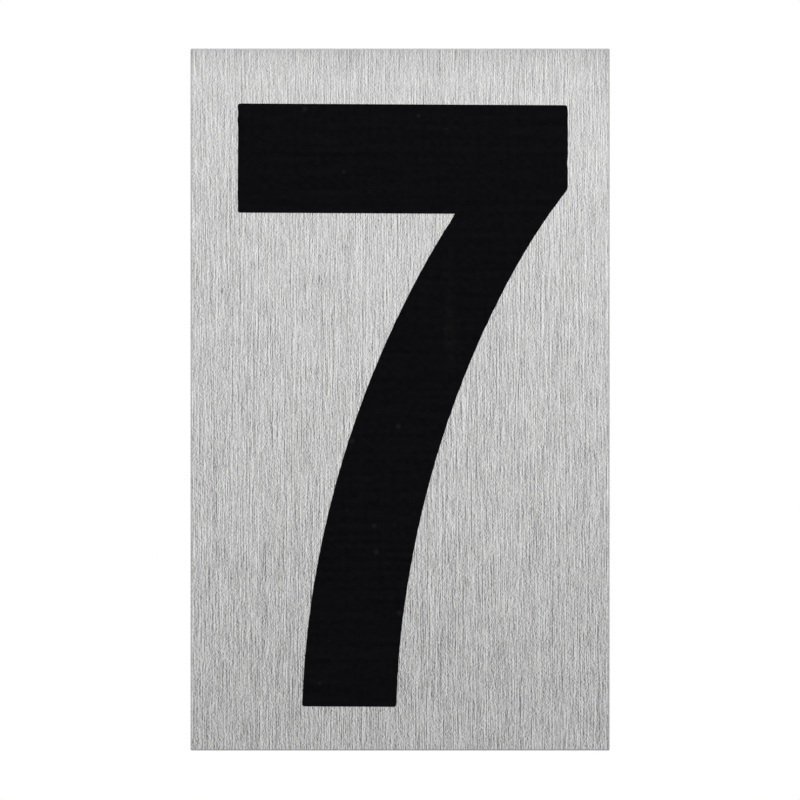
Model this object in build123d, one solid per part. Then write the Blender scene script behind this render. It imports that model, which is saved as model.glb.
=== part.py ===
"""Door number plate: brushed sheet aluminium with a printed figure 7, bonded to the door by foam tape.

Sizes are in millimetres and angles in degrees. +Z is up, +X is to the right as the plate is read,
and the face with the figure looks along -Y. The origin is the middle of the tape's outer face, so
the door's surface is the plane Y = 0.
"""

from build123d import *

import os
from math import sqrt

# Plate
plate_width = 60.0
plate_height = 100.5
plate_thickness = 1.5
edge_round = 0.2  # broken front edges and upright corners, the back edges stay square

# Foam tape on the plate's back
tape_thickness = 1.0
tape_inset = 3.0  # from the plate's edges
tape_corner_round = 1.0

# Margins from the plate's edges to the ends of the figure
left_margin = 6.65
right_margin = 6.25
top_margin = 8.05
bottom_margin = 6.3

# Figure: a flat bar with a curved stem under its right end
bar_height = 15.55
crotch_inset = 16.0  # from the bar's right end to the corner where the stem leaves the bar
foot_inset = 24.1  # from the bar's right end to the right corner of the stem's foot
foot_width = 13.4
waist_width = 13.1  # of the stem, level with the haunch
stem_radius = 141.0  # of the stem's left side, and of its right side below the haunch
haunch_drop = 12.2  # from the bar's underside to where the stem's right side bends tighter
shoulder_drop = 12.0  # from the bar's top to where its right end turns into the stem
shoulder_round = 1.0
corner_round = 0.3
ink_thickness = 0.1
figure_tilt = 0.3  # clockwise as the plate is read

# Planes that the pieces stand on, each looking out from the door
door_plane = Plane.XZ
plate_back = door_plane.offset(tape_thickness)
plate_front = plate_back.offset(plate_thickness)


def corner_at(sketch, point):
    """The sketch's vertex that lies on a corner of its outline."""
    return sketch.vertices().sort_by_distance(point)[0]


def figure_outline():
    """The figure, upright about the plate's middle, with X to the right and Y up."""
    left = left_margin - plate_width / 2
    right = plate_width / 2 - right_margin
    top = plate_height / 2 - top_margin
    foot = bottom_margin - plate_height / 2
    underside = top - bar_height
    haunch_height = underside - haunch_drop

    top_left = (left, top)
    top_right = (right, top)
    bar_left = (left, underside)
    crotch = (right - crotch_inset, underside)
    shoulder = (right, top - shoulder_drop)
    foot_right = (right - foot_inset, foot)
    foot_left = (right - foot_inset - foot_width, foot)

    with BuildSketch() as figure:
        with BuildLine():
            left_side = RadiusArc(foot_left, crotch, stem_radius)
            centre = left_side.arc_center
            left_at_haunch = centre.X - sqrt(stem_radius**2 - (haunch_height - centre.Y) ** 2)
            haunch = (left_at_haunch + waist_width, haunch_height)
            right_side = RadiusArc(foot_right, haunch, stem_radius)
            TangentArc(haunch, shoulder, tangent=right_side % 1)
            Polyline(shoulder, top_right, top_left, bar_left, crotch)
            Line(foot_left, foot_right)
        make_face()
        square_corners = (top_left, top_right, bar_left, foot_left, foot_right)
        fillet([corner_at(figure, point) for point in square_corners], corner_round)
        fillet(corner_at(figure, shoulder), shoulder_round)
    return figure.sketch


def make_plate():
    """The sheet, with its front edges and upright corners broken."""
    blank = extrude(plate_back * Rectangle(plate_width, plate_height), plate_thickness)
    front_edges = blank.faces().sort_by(Axis.Y)[0].edges()
    corner_edges = blank.edges().filter_by(Axis.Y)
    return fillet(front_edges + corner_edges, edge_round)


def make_figure():
    """The film of ink, turned out of square with the plate as it was printed."""
    printed = Rot(Z=-figure_tilt) * figure_outline()
    return extrude(plate_front * printed, ink_thickness)


def make_tape():
    """The foam tape between the plate and the door."""
    width = plate_width - 2 * tape_inset
    height = plate_height - 2 * tape_inset
    return extrude(door_plane * RectangleRounded(width, height, tape_corner_round), tape_thickness)


os.makedirs("parts", exist_ok=True)
export_step(make_plate(), "parts/plate.step")
export_step(make_figure(), "parts/figure_seven.step")
export_step(make_tape(), "parts/adhesive_tape.step")
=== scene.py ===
"""Door number plate: brushed aluminium, a printed figure and foam tape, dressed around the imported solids.

Lengths are in metres in the part's own frame: +Z is up, the figure faces -Y and the door is at Y = 0.
"""

import logging
import math
from dataclasses import dataclass, field
from enum import Enum
from typing import Any, Callable, ClassVar

import bpy
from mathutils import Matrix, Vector, noise


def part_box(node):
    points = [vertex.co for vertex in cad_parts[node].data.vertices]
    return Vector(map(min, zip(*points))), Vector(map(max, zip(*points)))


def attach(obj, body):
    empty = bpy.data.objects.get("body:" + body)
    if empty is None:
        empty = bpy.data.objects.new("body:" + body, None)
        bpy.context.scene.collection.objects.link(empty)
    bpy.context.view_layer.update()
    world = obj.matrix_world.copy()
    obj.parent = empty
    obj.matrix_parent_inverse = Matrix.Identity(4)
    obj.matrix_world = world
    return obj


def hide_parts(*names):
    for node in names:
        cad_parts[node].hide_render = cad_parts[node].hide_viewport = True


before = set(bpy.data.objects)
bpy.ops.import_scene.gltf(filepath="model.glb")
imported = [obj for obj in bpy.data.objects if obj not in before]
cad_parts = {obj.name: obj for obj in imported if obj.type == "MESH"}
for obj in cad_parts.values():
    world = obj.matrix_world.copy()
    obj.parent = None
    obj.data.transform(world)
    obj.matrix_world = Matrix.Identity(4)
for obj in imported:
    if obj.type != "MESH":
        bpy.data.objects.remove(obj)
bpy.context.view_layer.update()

MM = 0.001
MIDDLE = 0.5  # average of the noise, and of the lines and clouds made from it
LOG = logging.getLogger("door_number_plate")

Colour = tuple[float, float, float, float]
Socket = bpy.types.NodeSocket
Value = float | Colour | Socket
Span = tuple[float, float]  # from one value to another
Spot = tuple[float, float]  # across, and up or down


def grey(level: float) -> Colour:
    """A neutral colour of one linear level."""
    return (level, level, level, 1.0)


class Side(Enum):
    """A flat side of a piece, by the way along Y that it looks."""

    FRONT = -1.0
    BACK = 1.0


class Flank(Enum):
    """A flank of the figure, by the way along X that it looks."""

    LEFT = -1.0
    RIGHT = 1.0


class Ray(Enum):
    """Light Path outputs of the rays that see the white background."""

    CAMERA = "Is Camera Ray"
    GLOSSY = "Is Glossy Ray"
    TRANSMISSION = "Is Transmission Ray"


class Wiring:
    """Places nodes in one node tree and links them."""

    def __init__(self, tree: bpy.types.NodeTree) -> None:
        """Works on one tree."""
        self.tree = tree

    def add(self, kind: str, inputs: dict[Any, Value] | None = None, **settings: Any) -> bpy.types.Node:
        """Adds a node.

        Args:
            kind: The node's type name.
            inputs: Values or sockets for its inputs, by name or number.
            settings: Values for the node's own properties.

        Returns:
            The new node.
        """
        node = self.tree.nodes.new(kind)
        for name, value in settings.items():
            setattr(node, name, value)
        for key, value in (inputs or {}).items():
            if isinstance(value, Socket):
                self.tree.links.new(value, node.inputs[key])
            else:
                node.inputs[key].default_value = value
        return node

    def link(self, source: Socket, node: bpy.types.Node, name: str) -> None:
        """Feeds a socket to a node's named input."""
        self.tree.links.new(source, node.inputs[name])

    def math(self, operation: str, first: Value, second: Value = 0.0, third: Value = 0.0) -> Socket:
        """A sum, product or other operation on two or three values."""
        return self.add("ShaderNodeMath", {0: first, 1: second, 2: third}, operation=operation).outputs[0]

    def point(self, x: Value, y: Value, z: Value) -> Socket:
        """A vector from three values."""
        return self.add("ShaderNodeCombineXYZ", {0: x, 1: y, 2: z}).outputs[0]

    def split(self, vector: Socket) -> list[Socket]:
        """The three values of a vector."""
        return list(self.add("ShaderNodeSeparateXYZ", {0: vector}).outputs)

    def noise_at(self, place: Socket, detail: float) -> Socket:
        """Soft noise with one cell for each unit of a place, and finer noise by its detail."""
        inputs = {"Vector": place, "Scale": 1.0, "Detail": detail}
        return self.add("ShaderNodeTexNoise", inputs).outputs[0]

    def noise_along(self, place: Socket) -> Socket:
        """Soft noise along one line, with one cell for each unit."""
        inputs = {"W": place, "Scale": 1.0, "Detail": 0.0}
        return self.add("ShaderNodeTexNoise", inputs, noise_dimensions="1D").outputs[0]

    def chance(self, number: Socket) -> Socket:
        """A chance value from 0 to 1 that belongs to a number."""
        return self.add("ShaderNodeTexWhiteNoise", {"W": number}, noise_dimensions="1D").outputs[0]

    def rescale(self, value: Value, start: Span, end: Span = (0.0, 1.0), smooth: bool = False) -> Socket:
        """Takes a value from one span to another and holds it there.

        Args:
            value: The value.
            start: The span that it comes from.
            end: The span that it goes to.
            smooth: Whether it eases in and out.

        Returns:
            The value in its new span.
        """
        spans = {"From Min": start[0], "From Max": start[1], "To Min": end[0], "To Max": end[1]}
        easing = "SMOOTHSTEP" if smooth else "LINEAR"
        inputs = {"Value": value, **spans}
        return self.add("ShaderNodeMapRange", inputs, interpolation_type=easing).outputs[0]

    def blend(self, share: Value, first: Value, second: Value) -> Socket:
        """A value between two values."""
        return self.add("ShaderNodeMix", {0: share, 2: first, 3: second}, data_type="FLOAT").outputs[0]

    def tint(self, share: Value, first: Value, second: Value) -> Socket:
        """A colour between two colours."""
        return self.add("ShaderNodeMix", {0: share, 6: first, 7: second}, data_type="RGBA").outputs[2]


@dataclass(frozen=True)
class Drawing:
    """How a brush or a squeegee drew its lines: their width, their usual length and a seed."""

    width: Value
    length: Value
    seed: Value


@dataclass(frozen=True)
class Strand:
    """One kind of line in a drawing, by its share of the drawing's width and length, and its weight."""

    width: float
    length: float
    weight: float


class Effects:
    """Surface effects that several finishes use, each one node group that is built once."""

    STRANDS = (  # each about three times as long as the one before it
        Strand(1.00, 0.063, 0.49),
        Strand(1.20, 0.19, 0.34),
        Strand(0.95, 0.60, 0.45),
        Strand(0.87, 1.65, 0.46),
        Strand(1.10, 6.00, 0.37),
    )
    SHADOW = -0.5  # of a line on its neighbour
    SEED_STEP = 5.3  # between the strands of a drawing
    FAR_APART = 700.0  # the most between two lines' places in the noise
    CLOUD_DETAIL = 2.0
    HARDNESS = 2.0  # of a dot's rim

    def __init__(self) -> None:
        """Builds every group."""
        self.line_group = self._line_group()
        self.cloud_group = self._cloud_group()
        self.dot_group = self._dot_group()

    @staticmethod
    def _open(name: str, inputs: list[str], output: str) -> tuple[Wiring, bpy.types.Node, bpy.types.Node]:
        """Starts a group of plain numbers.

        Args:
            name: The group's name.
            inputs: The names of its inputs.
            output: The name of its one output.

        Returns:
            The group's wiring, its input node and its output node.
        """
        tree = bpy.data.node_groups.new(name, "ShaderNodeTree")
        for socket in inputs:
            tree.interface.new_socket(name=socket, in_out="INPUT", socket_type="NodeSocketFloat")
        tree.interface.new_socket(name=output, in_out="OUTPUT", socket_type="NodeSocketFloat")
        wiring = Wiring(tree)
        return wiring, wiring.add("NodeGroupInput"), wiring.add("NodeGroupOutput")

    def _line_group(self) -> bpy.types.NodeTree:
        """Straight lines side by side, each one uneven along its length and with a faint shadow beside it.

        Returns:
            The group.
        """
        inputs = ["Across", "Along", "Width", "Length", "Seed"]
        wiring, given, result = self._open("drawn_lines", inputs, "Lines")
        across = wiring.math("DIVIDE", given.outputs["Across"], given.outputs["Width"])
        along = wiring.math("DIVIDE", given.outputs["Along"], given.outputs["Length"])
        seed = given.outputs["Seed"]
        total = MIDDLE
        for strand in self.STRANDS:
            seed = wiring.math("ADD", seed, self.SEED_STEP)
            down = wiring.math("DIVIDE", along, strand.length)
            column = wiring.math("FLOOR", wiring.math("DIVIDE", across, strand.width))
            line = wiring.math("ADD", seed, column)
            neighbour = wiring.math("ADD", line, 1.0)
            for number, weight in ((line, strand.weight), (neighbour, self.SHADOW * strand.weight)):
                place = wiring.math("MULTIPLY_ADD", wiring.chance(number), self.FAR_APART, down)
                level = wiring.math("SUBTRACT", wiring.noise_along(place), MIDDLE)
                total = wiring.math("MULTIPLY_ADD", level, weight, total)
        wiring.link(total, result, "Lines")
        return wiring.tree

    def _cloud_group(self) -> bpy.types.NodeTree:
        """Broad soft patches.

        Returns:
            The group.
        """
        wiring, given, result = self._open("clouds", ["X", "Y", "Z", "Size"], "Clouds")
        place = [wiring.math("DIVIDE", given.outputs[axis], given.outputs["Size"]) for axis in "XYZ"]
        wiring.link(wiring.noise_at(wiring.point(*place), self.CLOUD_DETAIL), result, "Clouds")
        return wiring.tree

    def _dot_group(self) -> bpy.types.NodeTree:
        """Small round dots of uneven size, one in each cell of a loose scatter.

        Returns:
            The group. Its output goes from 0 outside a dot to 1 at its middle.
        """
        wiring, given, result = self._open("dots", ["X", "Y", "Z", "Pitch", "Largest"], "Dots")
        place = [wiring.math("DIVIDE", given.outputs[axis], given.outputs["Pitch"]) for axis in "XYZ"]
        cells = wiring.add("ShaderNodeTexVoronoi", {"Vector": wiring.point(*place), "Scale": 1.0})
        chance = wiring.split(cells.outputs["Color"])[0]
        radius = wiring.math("MULTIPLY", chance, given.outputs["Largest"])
        inside = wiring.math("SUBTRACT", 1.0, wiring.math("DIVIDE", cells.outputs["Distance"], radius))
        dots = wiring.add("ShaderNodeClamp", {0: wiring.math("MULTIPLY", inside, self.HARDNESS)})
        wiring.link(dots.outputs[0], result, "Dots")
        return wiring.tree

    def lines(self, wiring: Wiring, across: Socket, along: Socket, drawing: Drawing) -> Socket:
        """Places the drawn lines in a material.

        Args:
            wiring: The material's wiring.
            across: The place across the lines.
            along: The place along them.
            drawing: How they were drawn.

        Returns:
            The lines' level.
        """
        place = {"Across": across, "Along": along}
        kind = {"Width": drawing.width, "Length": drawing.length, "Seed": drawing.seed}
        return wiring.add("ShaderNodeGroup", {**place, **kind}, node_tree=self.line_group).outputs[0]

    def clouds(self, wiring: Wiring, place: list[Socket], size: float) -> Socket:
        """Places soft patches of one size in a material."""
        inputs = {**dict(zip("XYZ", place)), "Size": size}
        return wiring.add("ShaderNodeGroup", inputs, node_tree=self.cloud_group).outputs[0]

    def dots(self, wiring: Wiring, place: list[Socket], pitch: float, largest: float) -> Socket:
        """Places dots in a material, by their pitch and the largest one's share of it."""
        inputs = {**dict(zip("XYZ", place)), "Pitch": pitch, "Largest": largest}
        return wiring.add("ShaderNodeGroup", inputs, node_tree=self.dot_group).outputs[0]


@dataclass(frozen=True)
class Finish:
    """A procedural material with one main shader."""

    SQUARE: ClassVar[Span] = (0.97, 0.998)  # a normal's part along Y, from round an edge to square on
    name: str

    def start(self, **constants: Value) -> tuple[Wiring, bpy.types.Node, bpy.types.Material]:
        """Makes an empty material.

        Args:
            constants: Values for the shader's own sockets, with underscores for spaces.

        Returns:
            The wiring, the shader and the material.
        """
        material = bpy.data.materials.new(self.name)
        material.use_nodes = True
        material.node_tree.nodes.clear()
        wiring = Wiring(material.node_tree)
        inputs = {name.replace("_", " "): value for name, value in constants.items()}
        shader = wiring.add("ShaderNodeBsdfPrincipled", inputs)
        wiring.add("ShaderNodeOutputMaterial", {"Surface": shader.outputs[0]})
        return wiring, shader, material

    @staticmethod
    def place(wiring: Wiring) -> list[Socket]:
        """The surface's X, Y and Z in the part's frame."""
        return wiring.split(wiring.add("ShaderNodeTexCoord").outputs["Object"])

    def facing(self, wiring: Wiring, side: Side) -> Socket:
        """How squarely the surface looks to one side, from 0 round an edge to 1."""
        along_y = wiring.split(wiring.add("ShaderNodeNewGeometry").outputs["Normal"])[1]
        return wiring.rescale(wiring.math("MULTIPLY", along_y, side.value), self.SQUARE, smooth=True)

    @staticmethod
    def relief(wiring: Wiring, shader: bpy.types.Node, height: Socket, depth: float) -> None:
        """Raises the surface by a height, in depths."""
        bump = wiring.add("ShaderNodeBump", {"Strength": 1.0, "Distance": depth, "Height": height})
        wiring.link(bump.outputs[0], shader, "Normal")

    def build(self, effects: Effects) -> bpy.types.Material:
        """Makes the material from the shared effects."""
        raise NotImplementedError


@dataclass(frozen=True)
class MetalFace:
    """How one side of the sheet looks: its lines, the colours that they lie between and its roughness."""

    drawing: Drawing
    dark: Colour
    bright: Colour
    roughness: float


@dataclass(frozen=True)
class BrushedAluminium(Finish):
    """Sheet aluminium, brushed upright on its face, rolled plain on its back and sheared at its edges."""

    name: str = "brushed_aluminium"
    node: str = "plate"
    face: MetalFace = MetalFace(
        drawing=Drawing(width=0.14 * MM, length=5.2 * MM, seed=1.0),
        dark=(0.178, 0.178, 0.176, 1.0),
        bright=(0.913, 0.913, 0.909, 1.0),
        roughness=0.36,
    )
    back: MetalFace = MetalFace(
        drawing=Drawing(width=0.15 * MM, length=30.0 * MM, seed=40.0),
        dark=(0.450, 0.450, 0.448, 1.0),
        bright=(0.630, 0.630, 0.628, 1.0),
        roughness=0.40,
    )
    edge: MetalFace = MetalFace(
        drawing=Drawing(width=0.12 * MM, length=1.5 * MM, seed=80.0),
        dark=(0.385, 0.385, 0.384, 1.0),
        bright=(0.605, 0.605, 0.603, 1.0),
        roughness=0.90,
    )
    shear: MetalFace = MetalFace(
        drawing=Drawing(width=0.12 * MM, length=12.0 * MM, seed=120.0),
        dark=(0.400, 0.400, 0.399, 1.0),
        bright=(0.760, 0.760, 0.758, 1.0),
        roughness=0.50,
    )
    shear_band: Span = (0.25 * MM, 0.65 * MM)  # from the face, where the shear left the edge smooth
    shear_waver: float = 0.5 * MM  # of the band's far rim
    shear_rim: float = 0.06 * MM  # over which the band fades in and out
    patch: float = 3.0 * MM  # across one lighter or darker patch of lines
    patch_shows: float = 0.14
    painted_contrast: Span = (1.33, 0.80)  # painted shading: the lines' contrast at the foot and at the top, stronger low down and fainter high up for the light that falls there
    lines_span: Span = (0.1, 0.9)  # of their level, from darkest to brightest
    lines_bow: float = 0.85  # under 1, dark lines stand out more than bright ones
    roughness_swing: Span = (0.06, -0.06)  # from the darkest line to the brightest
    depth: float = 0.012 * MM  # of the lines
    curl_slope: float = 0.13  # of the sheet at its top edge, which the shear bent a little forward
    curl_reach: float = 2.1 * MM  # below the edge, where the slope is down to about a third

    def build(self, effects: Effects) -> bpy.types.Material:
        """Makes the material.

        Args:
            effects: The shared effects.

        Returns:
            The material.
        """
        wiring, shader, material = self.start(Metallic=1.0)
        x, y, z = place = self.place(wiring)
        front = self.facing(wiring, Side.FRONT)
        back = self.facing(wiring, Side.BACK)
        flat = wiring.math("ADD", front, back)
        sides = (self.edge, self.shear, self.face, self.back)
        patches = wiring.math("SUBTRACT", effects.clouds(wiring, place, self.patch), MIDDLE)
        masks = (self.sheared(wiring, y, patches), front, back)
        across = wiring.blend(flat, wiring.math("ADD", x, z), x)
        along = wiring.blend(flat, y, z)
        width = self.pick(wiring.blend, masks, [side.drawing.width for side in sides])
        length = self.pick(wiring.blend, masks, [side.drawing.length for side in sides])
        seed = self.pick(wiring.blend, masks, [side.drawing.seed for side in sides])
        drawn = effects.lines(wiring, across, along, Drawing(width, length, seed))
        lines = self.cut(wiring, drawn, patches, z)
        dark = self.pick(wiring.tint, masks, [side.dark for side in sides])
        bright = self.pick(wiring.tint, masks, [side.bright for side in sides])
        wiring.link(wiring.tint(lines, dark, bright), shader, "Base Color")
        rough = self.pick(wiring.blend, masks, [side.roughness for side in sides])
        swing = wiring.rescale(lines, (0.0, 1.0), self.roughness_swing)
        wiring.link(wiring.math("ADD", rough, swing), shader, "Roughness")
        self.relief(wiring, shader, wiring.math("ADD", lines, self.curl(wiring, z)), self.depth)
        return material

    def cut(self, wiring: Wiring, drawn: Socket, patches: Socket, z: Socket) -> Socket:
        """Cuts the drawn lines into the metal, in patches, with painted shading that makes them stronger
        towards the foot and fainter towards the top, for the light that falls there.

        Args:
            wiring: The material's wiring.
            drawn: The lines' level as they were drawn.
            patches: Soft patches about 0, in which the lines are lighter or darker.
            z: The surface's Z.

        Returns:
            The lines' level, from 0 for the darkest to 1 for the brightest.
        """
        low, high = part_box(self.node)
        # Painted shading: the lines' contrast rises towards the foot and falls towards the top, for the
        # light that falls there.
        painted_contrast = wiring.rescale(z, (low.z, high.z), self.painted_contrast)
        height_shaded = wiring.math("MULTIPLY_ADD", wiring.math("SUBTRACT", drawn, MIDDLE), painted_contrast, MIDDLE)
        uneven = wiring.math("MULTIPLY_ADD", patches, self.patch_shows, height_shaded)
        return wiring.math("POWER", wiring.rescale(uneven, self.lines_span), self.lines_bow)

    def curl(self, wiring: Wiring, z: Socket) -> Socket:
        """Bends the sheet forward towards its top edge.

        Args:
            wiring: The material's wiring.
            z: The surface's Z.

        Returns:
            The bend's height, in depths.
        """
        below = wiring.math("SUBTRACT", z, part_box(self.node)[1].z)
        bend = wiring.math("EXPONENT", wiring.math("DIVIDE", below, self.curl_reach))
        return wiring.math("MULTIPLY", bend, self.curl_slope * self.curl_reach / self.depth)

    def sheared(self, wiring: Wiring, y: Socket, patches: Socket) -> Socket:
        """Finds the smooth wavering band that the shear left round the edge, next to the face.

        Args:
            wiring: The material's wiring.
            y: The surface's Y.
            patches: Soft patches about 0, by which the band wavers.

        Returns:
            1 in the band and 0 elsewhere.
        """
        face_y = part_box(self.node)[0].y
        depth = wiring.math("SUBTRACT", y, face_y)
        wavering = wiring.math("MULTIPLY_ADD", patches, self.shear_waver, depth)
        start, end = self.shear_band
        begun = wiring.rescale(depth, (start, start + self.shear_rim))
        ended = wiring.rescale(wavering, (end, end + self.shear_rim))
        return wiring.math("MULTIPLY", begun, wiring.math("SUBTRACT", 1.0, ended))

    @staticmethod
    def pick(mix: Callable[..., Socket], masks: tuple[Socket, ...], values: list[Value]) -> Value:
        """Picks one value at each point of the surface.

        Args:
            mix: How two values mix where a mask fades, as numbers or as colours.
            masks: Where each value after the first one holds.
            values: The first value, and one for each mask.

        Returns:
            The value that holds at the point.
        """
        picked = values[0]
        for mask, value in zip(masks, values[1:]):
            picked = mix(mask, picked, value)
        return picked


@dataclass(frozen=True)
class PrintedInk(Finish):
    """Dull black ink with faint lines of the squeegee and of the brushing below, a few specks and a rub."""

    name: str = "black_ink"
    dark: Colour = (0.0018, 0.0018, 0.0024, 1.0)
    light: Colour = (0.0038, 0.0038, 0.0047, 1.0)
    speck: Colour = (0.0078, 0.0078, 0.0085, 1.0)
    pull: Drawing = Drawing(width=0.7 * MM, length=16.0 * MM, seed=3.0)  # of the squeegee, level
    brush: Drawing = Drawing(width=0.6 * MM, length=6.0 * MM, seed=60.0)  # of the metal below, upright
    brush_shows: float = 0.35
    lines_span: Span = (0.2, 0.8)  # of their level, from darkest to lightest
    roughness: Span = (0.52, 0.40)  # from the darkest line to the lightest
    gloss: float = 0.02  # specular level, of which 0.5 is usual
    speck_pitch: float = 3.4 * MM
    speck_share: float = 0.15  # of the pitch, for the largest speck
    rub_place: Spot = (7.1 * MM, 11.0 * MM)  # X and Z of its middle
    rub_reach: Spot = (1.3 * MM, 13.0 * MM)  # half its width and height
    rub_patch: float = 1.2 * MM
    rub_patch_span: Span = (0.35, 0.65)
    rub_shows: float = 0.45
    depth: float = 0.004 * MM

    def build(self, effects: Effects) -> bpy.types.Material:
        """Makes the material.

        Args:
            effects: The shared effects.

        Returns:
            The material.
        """
        wiring, shader, material = self.start(Specular_IOR_Level=self.gloss)
        x, _, z = place = self.place(wiring)
        pulled = effects.lines(wiring, z, x, self.pull)
        brushed = effects.lines(wiring, x, z, self.brush)
        lines = wiring.rescale(wiring.blend(self.brush_shows, pulled, brushed), self.lines_span)
        specks = effects.dots(wiring, place, self.speck_pitch, self.speck_share)
        ink = wiring.tint(lines, self.dark, self.light)
        rubbed = wiring.tint(self.rub(wiring, effects, place), ink, self.speck)
        wiring.link(wiring.tint(specks, rubbed, self.speck), shader, "Base Color")
        wiring.link(wiring.rescale(lines, (0.0, 1.0), self.roughness), shader, "Roughness")
        self.relief(wiring, shader, wiring.math("ADD", lines, specks), self.depth)
        return material

    def rub(self, wiring: Wiring, effects: Effects, place: list[Socket]) -> Socket:
        """Finds the patchy upright rub on the stem.

        Args:
            wiring: The material's wiring.
            effects: The shared effects.
            place: The surface's X, Y and Z.

        Returns:
            How much the rub shows.
        """
        patches = effects.clouds(wiring, place, self.rub_patch)
        shows = wiring.rescale(patches, self.rub_patch_span, (0.0, self.rub_shows), smooth=True)
        for along, middle, reach in zip((place[0], place[2]), self.rub_place, self.rub_reach):
            away = wiring.math("ABSOLUTE", wiring.math("SUBTRACT", along, middle))
            inside = wiring.rescale(away, (0.0, reach), (1.0, 0.0), smooth=True)
            shows = wiring.math("MULTIPLY", shows, inside)
        return shows


@dataclass(frozen=True)
class FoamFinish(Finish):
    """White closed-cell foam, with a skin of clear adhesive on the side that meets the door."""

    name: str = "foam_tape"
    dark: Colour = (0.60, 0.60, 0.58, 1.0)
    light: Colour = (0.80, 0.80, 0.78, 1.0)
    cell: float = 0.35 * MM  # pitch of the cells
    cell_share: float = 0.9  # of the pitch, for the largest cell
    cell_shade: float = 0.3
    patch: float = 14.0 * MM
    patch_span: Span = (0.3, 0.7)
    patch_shade: Span = (0.8, 1.0)
    roughness: float = 0.6
    skin: float = 0.6  # weight of the adhesive's coat
    skin_roughness: float = 0.25
    depth: float = 0.03 * MM

    def build(self, effects: Effects) -> bpy.types.Material:
        """Makes the material.

        Args:
            effects: The shared effects.

        Returns:
            The material.
        """
        wiring, shader, material = self.start(Roughness=self.roughness, Coat_Roughness=self.skin_roughness)
        place = self.place(wiring)
        cells = effects.dots(wiring, place, self.cell, self.cell_share)
        clouds = effects.clouds(wiring, place, self.patch)
        patches = wiring.rescale(clouds, self.patch_span, self.patch_shade)
        shade = wiring.math("SUBTRACT", patches, wiring.math("MULTIPLY", cells, self.cell_shade))
        wiring.link(wiring.tint(shade, self.dark, self.light), shader, "Base Color")
        skin = wiring.math("MULTIPLY", self.facing(wiring, Side.BACK), self.skin)
        wiring.link(skin, shader, "Coat Weight")
        self.relief(wiring, shader, wiring.math("SUBTRACT", 1.0, cells), self.depth)
        return material


@dataclass
class Plate:
    """The sheet, whose solid stays and takes the brushed finish."""

    node: str = "plate"
    finish: Finish = field(default_factory=BrushedAluminium)

    def dress(self, effects: Effects) -> str:
        """Gives the solid its finish and says so."""
        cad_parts[self.node].material_slots[0].material = self.finish.build(effects)
        return f"{self.node}: {self.finish.name}"


@dataclass(frozen=True)
class Ring:
    """One ring of a layer's edge: its share of the way from back to front, and its inset."""

    share: float
    inset: float


@dataclass
class Layer:
    """A thin flat piece made from its solid's outline, with a softer edge than the solid has."""

    FRONT_NORMAL: ClassVar[float] = -0.99  # a normal's part along Y on the solid's front, at most
    WELD_DIGITS: ClassVar[int] = 8  # decimals to which corners that meet agree
    node: str
    name: str
    slot: str
    finish: Finish
    step: float  # between points of the outline
    rings: tuple[Ring, ...]

    def outline(self) -> list[Vector]:
        """Follows the rim of the solid's front.

        Returns:
            Evenly spaced (x, z) points, counter-clockwise as the plate is read.
        """
        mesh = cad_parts[self.node].data
        edges = set()
        for face in mesh.polygons:
            if face.normal.y < self.FRONT_NORMAL:
                spots = [mesh.vertices[v].co.xz for v in face.vertices]
                corners = [tuple(round(value, self.WELD_DIGITS) for value in spot) for spot in spots]
                edges.update(zip(corners, corners[1:] + corners[:1]))
        following = {start: end for start, end in edges if (end, start) not in edges}
        first = min(following)
        rim = [first]
        while following[rim[-1]] != first:
            rim.append(following[rim[-1]])
        return self.evenly([Vector(point) for point in rim])

    def evenly(self, rim: list[Vector]) -> list[Vector]:
        """Walks round a closed rim at even steps.

        Args:
            rim: The corners of the rim, in order.

        Returns:
            Points on the rim, about one step apart.
        """
        runs = [(start, end, (end - start).length) for start, end in zip(rim, rim[1:] + rim[:1])]
        whole = sum(length for _, _, length in runs)
        count = round(whole / self.step)
        stride = whole / count
        points = []
        walked = 0.0
        for start, end, length in runs:
            while len(points) < count and len(points) * stride <= walked + length:
                points.append(start.lerp(end, (len(points) * stride - walked) / length))
            walked += length
        return points

    def stray(self, place: Vector, outward: Vector) -> float:
        """How far the edge strays outward at a place on the outline."""
        raise NotImplementedError

    def build(self) -> bpy.types.Object:
        """Makes the piece as rings from its back to its front, closed by a flat face at each end.

        Returns:
            The new object.
        """
        low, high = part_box(self.node)
        points = self.outline()
        count = len(points)
        spots = []
        for ring in self.rings:
            depth = high.y + ring.share * (low.y - high.y)
            for i, point in enumerate(points):
                along = (points[(i + 1) % count] - points[i - 1]).normalized()
                outward = Vector((along.y, -along.x))
                moved = point + outward * (self.stray(point, outward) - ring.inset)
                spots.append((moved.x, depth, moved.y))
        ends = [tuple(reversed(range(count))), tuple(range(len(spots) - count, len(spots)))]
        walls = []
        for start in range(0, len(spots) - count, count):
            for i in range(count):
                j = (i + 1) % count
                walls.append((start + i, start + j, start + count + j, start + count + i))
        mesh = bpy.data.meshes.new(self.name)
        mesh.from_pydata(spots, [], ends + walls)
        mesh.polygons.foreach_set("use_smooth", [False] * len(ends) + [True] * len(walls))
        piece = bpy.data.objects.new(self.name, mesh)
        bpy.context.scene.collection.objects.link(piece)
        return piece

    def dress(self, effects: Effects) -> str:
        """Makes the piece, gives it its finish and puts it in the solid's place.

        Args:
            effects: The shared effects.

        Returns:
            A line about the piece.
        """
        piece = self.build()
        piece.data.materials.append(self.finish.build(effects))
        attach(piece, "root")
        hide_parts(self.node)
        return f"{self.name}: {len(piece.data.polygons)} faces in place of {self.node}"


@dataclass(frozen=True)
class Slip:
    """A spot on a flank of the figure where the printed edge runs out or falls short."""

    flank: Flank
    height: float
    reach: float
    half_length: float

    def push(self, place: Vector, outward: Vector) -> float:
        """How far the slip pushes the edge outward at a place on the outline."""
        near = math.exp(-(((place.y - self.height) / self.half_length) ** 2))
        return self.reach * near * max(0.0, outward.x * self.flank.value)


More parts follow.
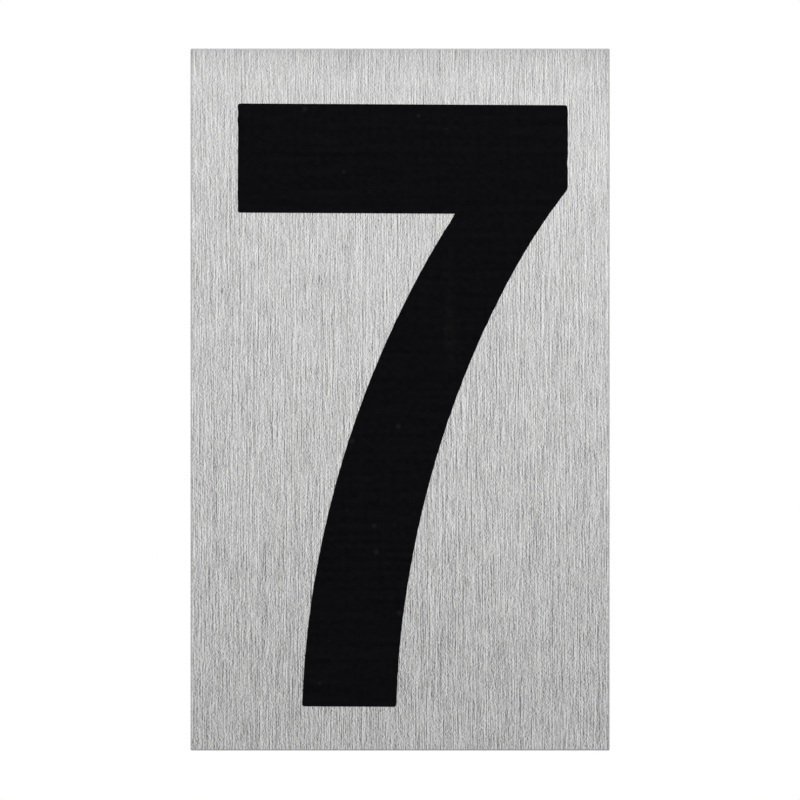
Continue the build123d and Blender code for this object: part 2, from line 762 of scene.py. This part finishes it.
@dataclass
class PrintedFigure(Layer):
    """The printed film, whose edge wavers where the ink ran along the brush lines."""

    node: str = "figure_seven"
    name: str = "ink_figure"
    slot: str = "black_ink"
    finish: Finish = field(default_factory=PrintedInk)
    step: float = 0.12 * MM
    rings: tuple[Ring, ...] = (
        Ring(0.0, 0.0),
        Ring(0.55, 0.0),
        Ring(0.85, 0.025 * MM),
        Ring(1.0, 0.08 * MM),
    )
    spread: float = 0.035 * MM  # of the ink past its stencil
    run: float = 0.05 * MM  # the most that an upright edge wavers
    run_length: float = 1.3 * MM
    comb: float = 0.012 * MM  # the most that a level edge wavers
    comb_pitch: float = 0.25 * MM
    sides_apart: float = 4.0  # between the two sides' places in the noise
    slips: tuple[Slip, ...] = (
        Slip(Flank.LEFT, 41.9 * MM, 0.07 * MM, 0.4 * MM),
        Slip(Flank.LEFT, 40.1 * MM, 0.07 * MM, 0.5 * MM),
        Slip(Flank.LEFT, 25.2 * MM, -0.05 * MM, 1.8 * MM),
        Slip(Flank.LEFT, -30.0 * MM, 0.03 * MM, 12.0 * MM),
        Slip(Flank.RIGHT, 42.0 * MM, -0.06 * MM, 0.8 * MM),
        Slip(Flank.RIGHT, 34.0 * MM, 0.08 * MM, 4.0 * MM),
        Slip(Flank.RIGHT, 33.8 * MM, -0.125 * MM, 0.9 * MM),
        Slip(Flank.RIGHT, 15.5 * MM, 0.045 * MM, 4.5 * MM),
        Slip(Flank.RIGHT, -33.0 * MM, -0.045 * MM, 4.0 * MM),
    )

    def stray(self, place: Vector, outward: Vector) -> float:
        """Ink runs along the upright brush lines, so upright edges waver and level ones are finely combed.

        Args:
            place: A point of the outline.
            outward: The direction away from the figure there.

        Returns:
            How far the edge strays outward.
        """
        side = math.copysign(self.sides_apart, outward.x)
        run = noise.noise(Vector((side, 0.0, place.y / self.run_length)))
        comb = noise.noise(Vector((place.x / self.comb_pitch, 0.0, 0.0)))
        slip = sum(slip.push(place, outward) for slip in self.slips)
        return self.spread + self.run * abs(outward.x) * run + self.comb * abs(outward.y) * comb + slip


@dataclass
class AdhesiveTape(Layer):
    """The foam tape, whose die-cut sides draw in a little between its two skins."""

    node: str = "adhesive_tape"
    name: str = "foam_tape"
    slot: str = "foam_tape"
    finish: Finish = field(default_factory=FoamFinish)
    step: float = 0.4 * MM
    rings: tuple[Ring, ...] = (
        Ring(0.0, 0.05 * MM),
        Ring(0.03, 0.01 * MM),
        Ring(0.10, 0.0),
        Ring(0.30, 0.07 * MM),
        Ring(0.50, 0.10 * MM),
        Ring(0.70, 0.07 * MM),
        Ring(0.92, 0.0),
        Ring(1.0, 0.0),
    )
    ragged: float = 0.05 * MM  # half the most that the cut wanders inward
    ragged_length: float = 2.5 * MM

    def stray(self, place: Vector, outward: Vector) -> float:
        """The cut's slight raggedness, always inside the solid."""
        return self.ragged * (noise.noise(Vector((place.x, 0.0, place.y)) / self.ragged_length) - 1.0)


@dataclass(frozen=True)
class Softbox:
    """A soft square lamp that looks at the plate."""

    name: str
    place: tuple[float, float, float]
    side: float
    power: float

    def light(self) -> None:
        """Puts the lamp in the scene."""
        lamp = bpy.data.lights.new(self.name, "AREA")
        lamp.size = self.side
        lamp.energy = self.power
        holder = bpy.data.objects.new(self.name, lamp)
        holder.location = self.place
        holder.rotation_euler = (-Vector(self.place)).to_track_quat("-Z", "Y").to_euler()
        bpy.context.scene.collection.objects.link(holder)


@dataclass
class Studio:
    """The camera square to the plate, a pale floor below it, soft lamps and a white surround."""

    photo_side: float = 800.0  # pixels
    plate_width: float = 419.3  # pixels across the plate in the photograph
    plate_middle: Spot = (400.06, 399.49)  # pixels from the photograph's left and top
    lens: float = 100.0  # millimetres
    sensor: float = 36.0  # millimetres
    level_tilt: float = math.radians(90.0)  # of a camera that looks level
    floor_drop: float = 100.0 * MM
    floor_half_width: float = 3.0
    floor_level: float = 0.37  # of its grey, in linear light
    floor_fades: Span = (0.2, 0.5)  # Y behind the plate, from bare floor to white
    floor_ends: Span = (0.8, 2.2)  # distance all round, from bare floor to white
    ambient: float = 0.75  # strength of the surround's light
    softboxes: tuple[Softbox, ...] = (
        Softbox("key_softbox", (0.8, -1.7, 2.05), 1.8, 47.0),
        Softbox("side_softbox", (-1.9, -0.3, 1.6), 1.8, 14.0),
        Softbox("back_softbox", (-0.6, 1.9, 1.7), 1.8, 26.0),
    )

    def set_up(self) -> None:
        """Makes the whole studio."""
        low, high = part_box("plate")
        self.camera(low, high)
        self.floor(low.z - self.floor_drop)
        self.surround()
        for softbox in self.softboxes:
            softbox.light()
        bpy.context.scene.view_settings.view_transform = "Standard"

    def camera(self, low: Vector, high: Vector) -> None:
        """Sets the camera so that the plate fills the frame as in the photograph.

        Args:
            low: The plate's lowest corner.
            high: The plate's highest corner.
        """
        pixel = (high.x - low.x) / self.plate_width
        middle = (low + high) / 2.0
        right = (self.photo_side / 2.0 - self.plate_middle[0]) * pixel
        up = (self.plate_middle[1] - self.photo_side / 2.0) * pixel
        distance = self.photo_side * pixel * self.lens / self.sensor
        data = bpy.data.cameras.new("camera")
        data.lens = self.lens
        data.sensor_width = self.sensor
        camera = bpy.data.objects.new("camera", data)
        camera.location = (middle.x + right, low.y - distance, middle.z + up)
        camera.rotation_euler = (self.level_tilt, 0.0, 0.0)
        bpy.context.scene.collection.objects.link(camera)
        bpy.context.scene.camera = camera

    @staticmethod
    def sees_white(wiring: Wiring) -> Socket:
        """Finds the rays that see the white background.

        Args:
            wiring: The wiring of a material or the world.

        Returns:
            1 for those rays and 0 for the rest.
        """
        path = wiring.add("ShaderNodeLightPath")
        total = 0.0
        for ray in Ray:
            total = wiring.math("ADD", total, path.outputs[ray.value])
        return wiring.math("MINIMUM", total, 1.0)

    def floor(self, height: float) -> None:
        """Lays the floor, which takes the plate's shadow and fades to white behind it and far away.

        Args:
            height: The floor's Z.
        """
        half = self.floor_half_width
        corners = [(x * half, y * half, height) for x, y in ((-1, -1), (1, -1), (1, 1), (-1, 1))]
        mesh = bpy.data.meshes.new("floor")
        mesh.from_pydata(corners, [], [(0, 1, 2, 3)])
        material = bpy.data.materials.new("pale_floor")
        material.use_nodes = True
        material.node_tree.nodes.clear()
        wiring = Wiring(material.node_tree)
        place = wiring.add("ShaderNodeTexCoord").outputs["Object"]
        behind = wiring.rescale(wiring.split(place)[1], self.floor_fades, smooth=True)
        away = wiring.add("ShaderNodeVectorMath", {0: place}, operation="LENGTH").outputs["Value"]
        far = wiring.rescale(away, self.floor_ends, smooth=True)
        fade = wiring.math("MULTIPLY", wiring.math("MAXIMUM", behind, far), self.sees_white(wiring))
        matt = wiring.add("ShaderNodeBsdfDiffuse", {"Color": grey(self.floor_level)})
        white = wiring.add("ShaderNodeEmission", {"Color": grey(1.0), "Strength": 1.0})
        both = wiring.add("ShaderNodeMixShader", {0: fade, 1: matt.outputs[0], 2: white.outputs[0]})
        wiring.add("ShaderNodeOutputMaterial", {"Surface": both.outputs[0]})
        mesh.materials.append(material)
        floor = bpy.data.objects.new("floor", mesh)
        bpy.context.scene.collection.objects.link(floor)

    def surround(self) -> None:
        """Makes the world white to the eye and in reflections, and a plain ambient light elsewhere."""
        world = bpy.data.worlds.new("surround")
        world.use_nodes = True
        world.node_tree.nodes.clear()
        wiring = Wiring(world.node_tree)
        soft = wiring.add("ShaderNodeBackground", {"Color": grey(1.0), "Strength": self.ambient})
        white = wiring.add("ShaderNodeBackground", {"Color": grey(1.0), "Strength": 1.0})
        shaders = {0: self.sees_white(wiring), 1: soft.outputs[0], 2: white.outputs[0]}
        both = wiring.add("ShaderNodeMixShader", shaders)
        wiring.add("ShaderNodeOutputWorld", {"Surface": both.outputs[0]})
        bpy.context.scene.world = world


def main() -> None:
    """Dresses the plate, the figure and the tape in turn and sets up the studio."""
    effects = Effects()
    for piece in (Plate(), PrintedFigure(), AdhesiveTape()):
        LOG.info(piece.dress(effects))
    Studio().set_up()


if __name__ == "__main__":
    logging.basicConfig(level=logging.INFO, format="%(name)s: %(message)s")
    main()
